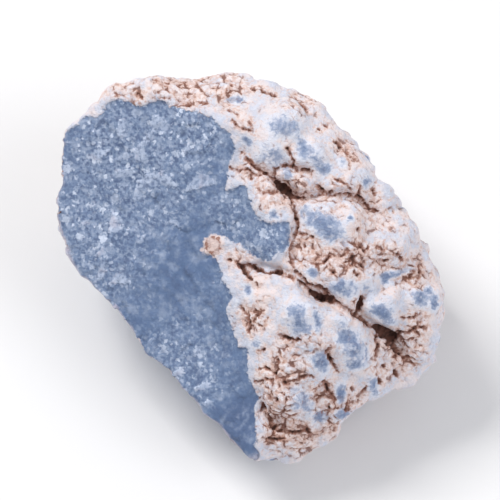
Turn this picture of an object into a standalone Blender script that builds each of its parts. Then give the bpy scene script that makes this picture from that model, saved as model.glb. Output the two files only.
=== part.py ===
"""Rough angelite: one lump of pale blue anhydrite, broken off a nodule.

The lump has a big fresh blue face where it was broken, and the nodule's own
lumpy, cracked rind over the rest. It is drawn in a picture frame, in
millimetres: U to the right, V up and W out towards the person who looks down
on it. It is then leaned back, so that it lies on its flat broken underside.
"""

import math

import bmesh
import bpy
import numpy as np
from mathutils import Matrix, Vector, noise

MM = 0.001

# Driving dimensions, in millimetres and degrees.
NAME = "angelite"
LEAN_DEG = 26.0
BLOCK_DEPTH = 64.0
BASE_DROP = 17.5
SKIN_VOXEL = 0.72
TRIANGLES = 9400

# Wear rounds the rind's edges. It sets in over these distances from an edge between two breaks, which
# only wears by the least share.
WEAR_STEPS, WEAR_STRENGTH, LEAST_WEAR = 24, 0.6, 0.12
WEAR_FROM_SHARP_EDGE, WEAR_FROM_BASE_EDGE = (1.5, 6.0), (0.5, 3.0)

# Finishes: linear colours and roughness.
RIND_COLOUR, RIND_ROUGHNESS = (0.57, 0.50, 0.51), 0.8
FRESH_COLOUR, FRESH_ROUGHNESS = (0.20, 0.28, 0.43), 0.55

# The outline of the lump as it is looked down on, clockwise: its sharp broken edge, from the bottom up
# the left side, and then the rind. The rind's relief comes on top of its line.
SHARP_EDGE = [(-0.8, -33.0), (-14.0, -20.9), (-26.3, -7.0), (-31.0, 1.0), (-34.4, 9.0), (-34.1, 22.4)]
RIND_EDGE = [
    (-28.0, 26.6), (-24.2, 29.5), (-17.8, 31.5), (-8.3, 32.2), (-3.4, 32.3), (1.3, 31.5), (8.1, 30.6),
    (11.8, 26.9), (15.7, 22.8), (19.1, 18.9), (22.5, 13.9), (26.0, 9.2), (26.9, 5.2), (30.5, 0.9),
    (31.9, -3.2), (31.8, -6.3), (32.4, -14.2), (31.2, -18.4), (27.4, -21.6), (20.2, -22.6), (15.0, -25.6),
    (12.0, -31.0), (7.3, -34.4),
]

# The flat breaks and worn sides that shape the block: a point on each and the way it faces.
FRESH_FACE = ((0.0, 0.0, 15.8), (-0.33, -0.10, 0.94))
LOWER_BREAK = ((-14.0, -19.9, 9.0), (-0.55, -0.62, -0.42))
CROWN = [
    ((8.0, 3.0, 17.8), (0.10, 0.05, 0.99)),
    ((22.0, -2.0, 14.5), (0.52, 0.05, 0.85)),
    ((14.0, 20.0, 13.5), (0.45, 0.52, 0.72)),
    ((-8.0, 27.5, 13.5), (-0.02, 0.62, 0.78)),
    ((14.0, -18.0, 13.5), (0.35, -0.45, 0.82)),
    ((8.0, -32.2, 8.5), (0.20, -0.85, 0.45)),
]
SIDES = [
    ((-33.0, 12.0, 3.0), (-0.93, 0.12, -0.34)),
    ((-27.7, 27.5, 4.0), (-0.60, 0.68, -0.40)),
    ((-5.0, 32.3, 0.0), (0.00, 0.95, -0.30)),
    ((21.5, 19.9, -1.0), (0.66, 0.70, -0.26)),
    ((13.2, 25.0, -12.0), (0.45, 0.60, -0.66)),
    ((32.2, -5.0, 0.0), (0.96, -0.10, -0.22)),
    ((27.6, -4.0, -11.0), (0.80, -0.12, -0.58)),
    ((25.0, -23.2, 2.0), (0.60, -0.70, -0.36)),
    ((7.0, -33.4, 4.0), (0.05, -0.88, -0.46)),
    ((-10.0, 21.0, -27.0), (-0.25, 0.72, -0.65)),
]

# The part of the drawn side that broke fresh and blue. It runs off the lump at the lower left.
FRESH_BORDER = [
    (-36.0, 21.5), (-29.7, 24.7), (-25.4, 27.2), (-21.5, 27.9), (-15.8, 28.1), (-10.1, 26.6),
    (-5.3, 24.2), (-2.7, 19.9), (-4.1, 14.1), (-0.5, 13.4), (1.0, 8.7), (5.8, 7.3),
    (6.5, 2.4), (3.4, 0.7), (-2.8, 4.2), (-7.6, 4.4), (-5.3, 0.0), (-3.3, -7.0),
    (-2.6, -11.5), (0.0, -16.5), (0.8, -25.5), (1.0, -32.0), (-4.0, -40.0), (-40.0, -10.0),
]
RIND_THICKNESS = 0.5

# The fresh face dips along this line.
TROUGH = [(-3.0, 17.0), (-5.0, 6.0), (-7.0, -3.0), (-5.0, -12.0), (-1.5, -23.0)]
TROUGH_DEPTH, TROUGH_HALF_WIDTH = 1.2, 9.0

# The crevices of the drawn side: points along each, with the half width there.
CREVICES = [
    [
        (-1.2, 18.9, 0.6), (1.0, 17.0, 0.8), (3.4, 15.1, 1.0), (6.0, 12.9, 2.0), (8.2, 11.3, 1.4),
        (10.3, 11.5, 1.0), (13.0, 12.2, 1.0), (16.3, 11.5, 1.0), (18.3, 11.7, 1.4), (21.4, 9.1, 0.7),
    ],
    [(3.4, 15.1, 0.7), (6.4, 17.1, 0.9), (9.4, 16.1, 0.9), (11.8, 12.7, 0.8)],
    [(7.7, 11.3, 0.8), (8.0, 8.1, 0.8), (7.5, 5.0, 0.7), (7.7, -1.2, 0.8)],
    [
        (-1.9, 0.0, 0.7), (-0.7, -1.0, 1.5), (1.5, -0.3, 1.1), (4.4, -1.2, 1.0), (7.5, -1.7, 1.0),
        (9.4, -3.6, 1.2), (11.8, -5.1, 2.0), (14.2, -6.5, 1.3), (16.8, -8.2, 1.1), (19.0, -8.7, 1.3),
        (20.9, -10.3, 1.4), (23.1, -11.8, 2.2), (25.0, -13.5, 1.4), (27.0, -16.4, 0.9),
    ],
    [(19.0, -8.7, 1.2), (18.7, -6.5, 1.2), (20.2, -4.6, 0.7)],
    [(1.5, -24.3, 1.0), (3.6, -26.6, 1.2), (6.3, -28.8, 1.0)],
]
# How deep a crevice is: at no width, and for each millimetre of half width. Its floor ends and its wall
# ends at these shares of the half width.
CREVICE_DEPTH = (0.7, 1.1)
CREVICE_WALL = (0.1, 0.85)
# The rind swells away from its crevices and, less, from its border. Half way up it is level with the block.
SWELL, SWELL_REACH, BORDER_SWELL, LEVEL_SWELL = 1.1, 6.0, 0.6, 0.8

# The knobs of the drawn side: the middle of each and its radius.
KNOBS = [
    (5.8, 24.5, 4.2), (2.9, 20.2, 2.8), (11.3, 18.6, 3.6), (12.5, 6.9, 4.2), (17.6, 8.2, 3.0),
    (24.5, 4.6, 4.4), (15.6, -3.6, 3.0), (29.0, -5.5, 4.0), (23.0, -6.8, 3.0), (8.0, -7.9, 4.6),
    (17.0, -14.4, 4.4), (11.0, -17.6, 3.4), (7.2, -23.4, 3.6), (14.6, -23.6, 3.8), (28.0, -16.0, 3.4),
    (6.8, 14.9, 1.6), (9.4, 13.7, 1.7), (-16.0, 30.4, 3.4), (-5.0, 29.0, 3.6), (18.0, 14.8, 3.2),
]
# A knob's height and where its side starts and ends, as shares of its radius.
KNOB_RISE, KNOB_SIDE = 0.3, (0.15, 1.1)

# The relief that the rind has all over, and what its hidden sides have besides.
RIND_SWELL = 0.5
RIND_PILLOWS = {"size": 5.5, "height": 1.0, "groove": 0.5}
HIDDEN_LIFT, HIDDEN_SWELL = 0.8, 1.1
HIDDEN_PILLOWS = {"size": 12.0, "height": 2.2, "groove": 1.8}
PIT_DEPTH, PIT_SIZE, PIT_SHARE = 1.6, 5.0, (0.38, 0.62)
FRESH_WAVE, LOWER_WAVE = 0.35, 0.7
# Waves on waves: the size of each and its height.
SWELLS = [(15.0, 1.6), (7.5, 0.8)]
BREAK_WAVES = [(11.0, 1.0), (4.0, 0.45), (2.2, 0.25)]
# A pattern of pillows, for each millimetre of their size: the size and reach of the waves that bend it,
# the size of the stretches where its grooves open, a groove's width and how far in a pillow is full.
BEND_SIZE, BEND_REACH, STRETCH, GROOVE_WIDTH, SHOULDER = 1.3, 0.3, 1.6, 0.1, 0.5
# The share of a groove that is open, on average and from stretch to stretch, and the least that it is.
OPEN_SHARE, OPEN_CHANGE, LEAST_OPEN = 0.5, 1.2, 0.1
# The borders and crevices stray from their drawn lines by this much, in waves of this size.
BORDER_WANDER, WANDER_SIZE = 0.6, 4.0
WANDER_SHIFTS = (Vector((9.3, -1.5, -7.9)), Vector((0.1, 4.2, 5.6)), Vector((-3.3, 7.7, -2.4)))

# The drawn side is the skin that faces outwards more than this. The fresh face's border is this soft.
DRAWN_TURN, BORDER_BLUR = (0.05, 0.45), 0.5
# A flat break is the skin this near to its plane that faces its way more than this.
BREAK_DEPTH, BREAK_TURN = (3.0, 4.5), (0.74, 0.9)
# A scar marks only the skin this near to its plane.
SCAR_FADE = (1.5, 3.0)

# The base is pressed flat where it is nearer to the rest plane than the first, and left from the second.
BASE_PRESS = (0.12, 0.5)

# Shallow scars where flakes came off a break: a point near the middle, the reach and the depth.
FRESH_SCARS = [
    ((-22.0, 12.0, 8.0), 12.0, 0.6), ((-13.0, -12.0, 10.0), 10.0, 0.7), ((-15.0, 24.0, 12.0), 8.0, 0.5),
]
LOWER_SCARS = [
    ((-11.0, -18.0, 3.0), 9.0, 1.6), ((-22.0, -7.0, 0.0), 11.0, 2.0), ((-2.0, -24.0, 0.0), 8.0, 1.4),
    ((-12.0, -11.0, -9.0), 10.0, 1.9), ((0.0, -20.0, -8.0), 7.5, 1.4), ((-25.0, -6.0, 4.5), 5.0, 0.7),
    ((-24.0, 1.0, -10.0), 9.0, 1.6), ((-16.0, -2.0, -17.0), 7.0, 1.2),
]
BASE_SCARS = [
    ((-13.0, 15.0, -26.0), 13.0, 2.3), ((19.0, -9.0, -15.0), 10.0, 1.9), ((14.0, 13.0, -26.0), 9.0, 1.6),
    ((-3.0, 26.0, -32.0), 8.0, 1.5), ((4.0, -17.0, -11.0), 8.0, 1.3), ((-17.0, 3.0, -21.0), 7.0, 1.2),
]
# Small bites out of the sharp edge: the middle of the ball that fits each and its radius.
BITES = [
    ((-16.8, -18.6, 9.4), 2.4), ((-18.4, -17.0, 8.8), 1.8), ((-29.9, -4.9, 5.2), 2.6),
    ((-35.0, 15.0, 5.0), 2.4), ((-6.2, -30.2, 11.8), 2.5), ((-34.0, 3.2, 3.6), 1.9),
]


def clear_scene():
    """Removes whatever the scene holds."""
    for obj in list(bpy.data.objects):
        bpy.data.objects.remove(obj)


def evaluated_mesh(obj):
    """The object's mesh with its modifiers applied."""
    bpy.context.view_layer.update()
    graph = bpy.context.evaluated_depsgraph_get()
    return bpy.data.meshes.new_from_object(obj.evaluated_get(graph))


def new_object(name, data, collection):
    """An object for this mesh or curve, in the collection."""
    obj = bpy.data.objects.new(name, data)
    collection.objects.link(obj)
    return obj


def outline_prism(collection):
    """A straight prism of the outline, deeper than the lump."""
    curve = bpy.data.curves.new("outline", "CURVE")
    curve.dimensions = "2D"
    curve.fill_mode = "BOTH"
    curve.extrude = BLOCK_DEPTH / 2
    spline = curve.splines.new("POLY")
    corners = SHARP_EDGE + RIND_EDGE
    spline.points.add(len(corners) - 1)
    for point, (u, v) in zip(spline.points, corners):
        point.co = (u, v, 0.0, 1.0)
    spline.use_cyclic_u = True
    guide = new_object("outline", curve, collection)
    mesh = evaluated_mesh(guide)
    bpy.data.objects.remove(guide)
    return mesh


def break_off(bm, point, normal):
    """Breaks away all that lies in front of one plane and closes the break."""
    cut = bmesh.ops.bisect_plane(
        bm,
        geom=bm.verts[:] + bm.edges[:] + bm.faces[:],
        plane_co=Vector(point),
        plane_no=Vector(normal).normalized(),
        clear_outer=True,
    )
    rim = [edge for edge in cut["geom_cut"] if isinstance(edge, bmesh.types.BMEdge)]
    if rim:
        bmesh.ops.contextual_create(bm, geom=rim)


def rest_plane():
    """The plane that the lump lies on, in the picture frame."""
    lean = math.radians(LEAN_DEG)
    down = Vector((0.0, -math.sin(lean), -math.cos(lean)))
    return down * BASE_DROP, down


def broken_block(collection):
    """The block with its flat breaks and sides, all edges still sharp."""
    mesh = outline_prism(collection)
    bm = bmesh.new()
    bm.from_mesh(mesh)
    bmesh.ops.remove_doubles(bm, verts=bm.verts, dist=0.01)
    for point, normal in [FRESH_FACE, LOWER_BREAK, *CROWN, *SIDES, rest_plane()]:
        break_off(bm, point, normal)
    bmesh.ops.recalc_face_normals(bm, faces=bm.faces)
    bm.to_mesh(mesh)
    bm.free()
    return new_object(NAME, mesh, collection)


def remesh(obj, voxel):
    """Gives the object an even skin of small faces."""
    skin = obj.modifiers.new("skin", "REMESH")
    skin.mode = "VOXEL"
    skin.voxel_size = voxel
    obj.data = evaluated_mesh(obj)
    obj.modifiers.clear()


def points_and_normals(mesh):
    """The mesh's points and outward normals, as arrays."""
    points = np.empty(len(mesh.vertices) * 3)
    mesh.vertices.foreach_get("co", points)
    normals = np.empty(len(mesh.vertices) * 3)
    mesh.vertex_normals.foreach_get("vector", normals)
    return points.reshape(-1, 3), normals.reshape(-1, 3)


def move_points(mesh, points):
    """Puts the mesh's points where they are told."""
    mesh.vertices.foreach_set("co", points.astype(np.float32).ravel())
    mesh.update()


def set_weights(obj, name, weights):
    """A vertex group with these weights."""
    group = obj.vertex_groups.new(name=name)
    for index, weight in enumerate(weights):
        group.add([index], float(weight), "REPLACE")


def weights_of(obj, name):
    """The weights of a vertex group."""
    index = obj.vertex_groups[name].index
    found = [[g.weight for g in vertex.groups if g.group == index] for vertex in obj.data.vertices]
    return np.array([sum(weights) for weights in found])


def ramp(value, low, high):
    """0 below low, 1 above high and a smooth rise between them."""
    share = np.clip((value - low) / (high - low), 0.0, 1.0)
    return share * share * (3.0 - 2.0 * share)


def along_segments(flat, chain):
    """For each segment of a chain: the distance to it, how far along it is nearest, and its ends."""
    for start, end in zip(chain[:-1], chain[1:]):
        a, b = np.array(start[:2]), np.array(end[:2])
        share = np.clip((flat - a) @ (b - a) / max((b - a) @ (b - a), 1e-9), 0.0, 1.0)
        yield np.linalg.norm(flat - a - share[:, None] * (b - a), axis=1), share, start, end


def chain_distance(flat, chain):
    """The distance to a chain of points."""
    return np.min([distance for distance, *_ in along_segments(flat, chain)], axis=0)


def border_distance(flat, border):
    """The distance to a closed border, positive inside it."""
    closed = [*border, border[0]]
    crossings = np.zeros(len(flat), int)
    for (u0, v0), (u1, v1) in zip(closed[:-1], closed[1:]):
        spans = (v0 > flat[:, 1]) != (v1 > flat[:, 1])
        crossings += spans & (flat[:, 0] < u0 + (flat[:, 1] - v0) / ((v1 - v0) or 1e-9) * (u1 - u0))
    nearest = chain_distance(flat, closed)
    return np.where(crossings % 2 == 1, nearest, -nearest)


def unit(direction):
    """The direction as an array one long."""
    return np.array(Vector(direction).normalized())


def plane_distance(points, plane):
    """How far each point lies in front of a plane."""
    point, normal = plane
    return (points - np.array(point)) @ unit(normal)


def sampled(points, function):
    """A function of one point, for every point."""
    return np.array([function(Vector(point)) for point in points])


def bite(points, middle, radius):
    """Pushes whatever lies inside a ball out to its skin, which leaves a round hollow."""
    away = points - np.array(middle)
    reach = np.maximum(np.linalg.norm(away, axis=1), 1e-6)
    return np.array(middle) + away * (np.maximum(reach, radius) / reach)[:, None]


def scar(points, plane, near, reach, depth):
    """A shallow round hollow in a flat break."""
    normal = unit(plane[1])
    middle = np.array(near) - plane_distance(np.array([near]), plane)[0] * normal
    radius = (reach * reach + depth * depth) / (2.0 * depth)
    hollow = bite(points, middle + (radius - depth) * normal, radius)
    near_plane = 1.0 - ramp(np.abs(plane_distance(points, plane)), *SCAR_FADE)
    return points + (hollow - points) * near_plane[:, None]


def soften_rind(obj):
    """Wears the rind's edges round, and keeps the edges of the breaks sharp."""
    points, _ = points_and_normals(obj.data)
    edge = chain_distance(points[:, :2], SHARP_EDGE)
    from_edge = np.hypot(edge, plane_distance(points, FRESH_FACE))
    from_base_edge = np.hypot(plane_distance(points, LOWER_BREAK), plane_distance(points, rest_plane()))
    worn = np.minimum(ramp(from_edge, *WEAR_FROM_SHARP_EDGE), ramp(from_base_edge, *WEAR_FROM_BASE_EDGE))
    set_weights(obj, "worn", np.maximum(worn, LEAST_WEAR))
    wear = obj.modifiers.new("wear", "SMOOTH")
    wear.factor = WEAR_STRENGTH
    wear.iterations = WEAR_STEPS
    wear.vertex_group = "worn"
    obj.data = evaluated_mesh(obj)
    obj.modifiers.clear()


def chip_breaks(mesh):
    """The scars and bites that flakes left on the breaks and on the sharp edge."""
    points, _ = points_and_normals(mesh)
    for plane, scars in ((FRESH_FACE, FRESH_SCARS), (LOWER_BREAK, LOWER_SCARS), (rest_plane(), BASE_SCARS)):
        for near, reach, depth in scars:
            points = scar(points, plane, near, reach, depth)
    for middle, radius in BITES:
        points = bite(points, middle, radius)
    move_points(mesh, points)


def wander(point):
    """Noise in each of the three directions, the same on every run."""
    return Vector([noise.noise(point + shift) for shift in WANDER_SHIFTS])


def waves(points, layers):
    """Waves of several sizes, one on another."""
    return sampled(points, lambda p: sum(height * noise.noise(p / size) for size, height in layers))


def cell_gap(point, size):
    """How far a point is inside its cell of a cell pattern: 0 on the border between two cells."""
    shift = wander(point / (BEND_SIZE * size)) * BEND_REACH * size
    distances, _ = noise.voronoi((point + shift) / size)
    return (distances[1] - distances[0]) * size / 2


def pillows(points, size, height, groove):
    """Rounded knobs of this size, with grooves between them that come and go."""
    gap = sampled(points, lambda p: cell_gap(p, size))
    stretch = sampled(points, lambda p: noise.noise(p / (STRETCH * size) + WANDER_SHIFTS[0]))
    open_share = np.clip(OPEN_SHARE + OPEN_CHANGE * stretch, LEAST_OPEN, 1.0)
    cut = groove * open_share * (1.0 - ramp(gap, 0.0, GROOVE_WIDTH * size))
    return height * (ramp(gap, 0.0, SHOULDER * size) - 0.5) - cut


def pits(points):
    """Scattered small deep holes."""
    return ramp(sampled(points, lambda p: noise.noise(p / PIT_SIZE + WANDER_SHIFTS[1])), *PIT_SHARE)


def crevice_depth(flat):
    """How deep the drawn side's crevices cut."""
    depth = np.zeros(len(flat))
    for chain in CREVICES:
        for distance, share, start, end in along_segments(flat, chain):
            half = start[2] + (end[2] - start[2]) * share
            floor = CREVICE_DEPTH[0] + CREVICE_DEPTH[1] * half
            depth = np.maximum(depth, floor * (1.0 - ramp(distance / half, *CREVICE_WALL)))
    return depth


def knob_height(flat):
    """How high the drawn side's knobs stand."""
    height = np.zeros(len(flat))
    for u, v, radius in KNOBS:
        out = np.linalg.norm(flat - np.array((u, v)), axis=1) / radius
        height = np.maximum(height, KNOB_RISE * radius * (1.0 - ramp(out, *KNOB_SIDE)))
    return height


def drawn_relief(flat, inside):
    """The relief of the drawn side's rind: it swells between its crevices, with knobs on the swells."""
    crevice = np.min([chain_distance(flat, chain) for chain in CREVICES], axis=0)
    border = BORDER_SWELL * ramp(-inside, 0.0, SWELL_REACH)
    swell = SWELL * (ramp(crevice, 0.0, SWELL_REACH) + border - LEVEL_SWELL)
    return swell + knob_height(flat) - crevice_depth(flat)


def break_share(points, normals, plane):
    """How much of each point's skin belongs to a flat break: it is near the plane and faces its way."""
    near = 1.0 - ramp(-plane_distance(points, plane), *BREAK_DEPTH)
    return near * ramp(normals @ unit(plane[1]), *BREAK_TURN)


def skin_shares(points, normals, flat):
    """How much of each point's skin is on the drawn side, the fresh face, the lower break and the base."""
    drawn = ramp(normals[:, 2], *DRAWN_TURN)
    fresh = ramp(border_distance(flat, FRESH_BORDER), -BORDER_BLUR, BORDER_BLUR) * drawn
    lower = break_share(points, normals, LOWER_BREAK)
    base = break_share(points, normals, rest_plane())
    return drawn, fresh, lower, base


def flatten_base(mesh):
    """Presses whatever is below the rest plane, or nearly on it, onto that plane."""
    points, _ = points_and_normals(mesh)
    rest = rest_plane()
    above = -plane_distance(points, rest)
    settled = np.clip(above, 0.0, None) * ramp(above, *BASE_PRESS)
    move_points(mesh, points + (above - settled)[:, None] * unit(rest[1]))


def sculpt(stone):
    """Shapes the skin: lumps and cracks on the rind, shallow waves on the breaks."""
    points, normals = points_and_normals(stone.data)
    flat = points[:, :2] + BORDER_WANDER * sampled(points, lambda p: wander(p / WANDER_SIZE)[:2])
    drawn, fresh, lower, base = skin_shares(points, normals, flat)
    rind = 1.0 - np.maximum(np.maximum(fresh, lower), base)

    swell = waves(points, SWELLS)
    height = rind * (RIND_SWELL * swell + pillows(points, **RIND_PILLOWS) + RIND_THICKNESS)
    hidden = HIDDEN_LIFT + HIDDEN_SWELL * swell - PIT_DEPTH * pits(points)
    height += rind * (1.0 - drawn) * (hidden + pillows(points, **HIDDEN_PILLOWS))
    height += rind * drawn * drawn_relief(flat, border_distance(flat, FRESH_BORDER))
    height -= drawn * TROUGH_DEPTH * (1.0 - ramp(chain_distance(flat, TROUGH), 0.0, TROUGH_HALF_WIDTH))
    height += waves(points, BREAK_WAVES) * (FRESH_WAVE * fresh + LOWER_WAVE * lower) * (1.0 - base)
    move_points(stone.data, points + normals * height[:, None])
    set_weights(stone, "broken", 1.0 - rind)


def thin_out(obj):
    """Leaves few faces where the skin is flat and many where it is cracked."""
    obj.data.calc_loop_triangles()
    fewer = obj.modifiers.new("fewer_faces", "DECIMATE")
    fewer.ratio = TRIANGLES / len(obj.data.loop_triangles)
    fewer.use_collapse_triangulate = True
    obj.data = evaluated_mesh(obj)
    obj.modifiers.clear()


def stone_material(name, colour, roughness):
    """A plain stone finish."""
    material = bpy.data.materials.new(name)
    material.use_nodes = True
    shader = material.node_tree.nodes["Principled BSDF"]
    shader.inputs["Base Color"].default_value = (*colour, 1.0)
    shader.inputs["Roughness"].default_value = roughness
    shader.inputs["Metallic"].default_value = 0.0
    return material


def colour(stone):
    """Blue where the lump broke, pale on the rind."""
    mesh = stone.data
    mesh.materials.append(stone_material("angelite_rind", RIND_COLOUR, RIND_ROUGHNESS))
    mesh.materials.append(stone_material("angelite_fresh_break", FRESH_COLOUR, FRESH_ROUGHNESS))
    broken = weights_of(stone, "broken")
    for face in mesh.polygons:
        face.material_index = int(broken[list(face.vertices)].mean() > 0.5)


def lay_down(mesh):
    """Leans the lump back onto its base, in metres, with the origin under its middle."""
    mesh.transform(Matrix.Rotation(math.radians(LEAN_DEG), 4, "X"))
    mesh.transform(Matrix.Scale(MM, 4))
    points, _ = points_and_normals(mesh)
    low, high = points.min(axis=0), points.max(axis=0)
    middle = (low + high) / 2
    mesh.transform(Matrix.Translation((-middle[0], -middle[1], -low[2])))


def main():
    clear_scene()
    collection = bpy.data.collections.new("rough_angelite")
    bpy.context.scene.collection.children.link(collection)
    stone = broken_block(collection)
    remesh(stone, SKIN_VOXEL)
    soften_rind(stone)
    chip_breaks(stone.data)
    sculpt(stone)
    thin_out(stone)
    flatten_base(stone.data)
    colour(stone)
    lay_down(stone.data)
    stone.data.shade_smooth()
    return stone


main()
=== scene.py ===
"""Rough angelite, dressed: sugary blue breaks, a chalky rind with rust in its cracks.

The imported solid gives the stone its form. A finer skin is modelled over it
here, and the same patterns that carve the skin also colour it. They are
measured in the picture frame of the solid, in millimetres: U to the right,
V up and W out, towards the camera. The marks on the drawn side, which faces
the camera, are placed one by one. Those on the hidden sides come from noise.
"""

import math

import bpy
import numpy as np
from mathutils import Matrix, Vector

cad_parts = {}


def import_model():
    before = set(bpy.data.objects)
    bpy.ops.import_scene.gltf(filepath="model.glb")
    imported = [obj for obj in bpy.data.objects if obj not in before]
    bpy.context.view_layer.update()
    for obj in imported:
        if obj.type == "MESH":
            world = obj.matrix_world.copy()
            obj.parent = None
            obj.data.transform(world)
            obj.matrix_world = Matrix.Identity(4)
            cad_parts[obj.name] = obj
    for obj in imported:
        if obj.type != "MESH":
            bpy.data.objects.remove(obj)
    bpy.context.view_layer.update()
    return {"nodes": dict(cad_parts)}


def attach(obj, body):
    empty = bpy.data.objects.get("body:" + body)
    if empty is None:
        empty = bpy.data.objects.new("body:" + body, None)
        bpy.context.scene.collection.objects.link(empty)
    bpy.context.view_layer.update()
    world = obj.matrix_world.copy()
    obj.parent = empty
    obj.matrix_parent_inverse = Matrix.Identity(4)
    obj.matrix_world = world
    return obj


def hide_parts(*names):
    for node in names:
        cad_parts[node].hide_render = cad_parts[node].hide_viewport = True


MM = 0.001

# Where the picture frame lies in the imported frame.
LEAN = math.radians(26.0)
PICTURE_ORIGIN = Vector((0.110, 0.625, 17.5)) * MM

WELD = 0.001 * MM
SKIN_VOXEL = 0.28 * MM
TRIANGLES = 190_000
# How often the skin is smoothed: to even out the voxels, to see how its lumps lie, and to leave only
# the stone's form.
EVEN_STEPS, LUMP_STEPS, FORM_STEPS = 4, 3, 40
SMOOTHING = 0.5

# The border of the fresh face on the drawn side, in millimetres.
FRESH_BORDER = [
    (-33.6, 22.6), (-30.6, 23.4), (-28.6, 25.4), (-26.6, 25.4), (-25.0, 26.6), (-24.2, 28.1),
    (-22.6, 28.4), (-20.9, 28.0), (-19.8, 27.1), (-18.0, 27.2), (-16.6, 28.0), (-14.7, 28.1),
    (-13.6, 27.0), (-11.0, 26.5), (-8.6, 25.8), (-6.4, 25.0), (-5.0, 23.8), (-3.3, 22.0),
    (-2.7, 19.9), (-3.3, 17.7), (-3.9, 15.8), (-4.1, 14.1), (-3.9, 12.8), (-2.8, 13.0),
    (-1.6, 13.4), (-0.6, 13.2), (-0.2, 11.5), (0.1, 9.8), (0.9, 8.2), (2.2, 7.4),
    (3.8, 7.0), (5.0, 7.4), (6.6, 7.0), (6.9, 5.0), (6.4, 2.6), (5.6, 1.8),
    (4.6, 2.2), (3.4, 0.9), (2.4, 0.7), (1.0, 1.3), (-0.5, 2.5), (-2.2, 3.6),
    (-3.8, 4.4), (-5.2, 5.1), (-6.6, 5.3), (-8.0, 4.0), (-7.6, 2.4), (-5.9, 1.2),
    (-5.2, -0.6), (-4.8, -2.2), (-3.9, -3.4), (-3.1, -5.2), (-4.2, -7.4), (-3.4, -9.5),
    (-3.0, -11.0), (-2.2, -12.6), (-1.8, -13.8), (-0.7, -14.4), (-0.4, -16.0), (-0.3, -18.5),
    (0.2, -20.3), (0.9, -21.5), (1.4, -22.6), (1.2, -23.8), (0.8, -25.2), (0.8, -27.5),
    (1.2, -29.0), (1.2, -30.5), (0.0, -31.6), (-2.0, -36.0), (-30.0, -10.0), (-38.0, 5.0),
    (-38.0, 22.0),
]
# The sharp edge of the fresh face.
SHARP_EDGE = [(-0.8, -33.0), (-14.0, -20.9), (-26.3, -7.0), (-31.0, 1.0), (-34.4, 9.0), (-34.1, 22.4)]
# The planes of the fresh face and of the two hidden breaks: a point and a normal.
FRESH_FACE = ((0.0, 0.0, 15.8), (-0.33, -0.10, 0.94))
LOWER_BREAK = ((-14.0, -19.9, 9.0), (-0.55, -0.62, -0.42))
BASE = ((0.0, -7.67, -15.73), (0.0, -0.4384, -0.8988))

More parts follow.
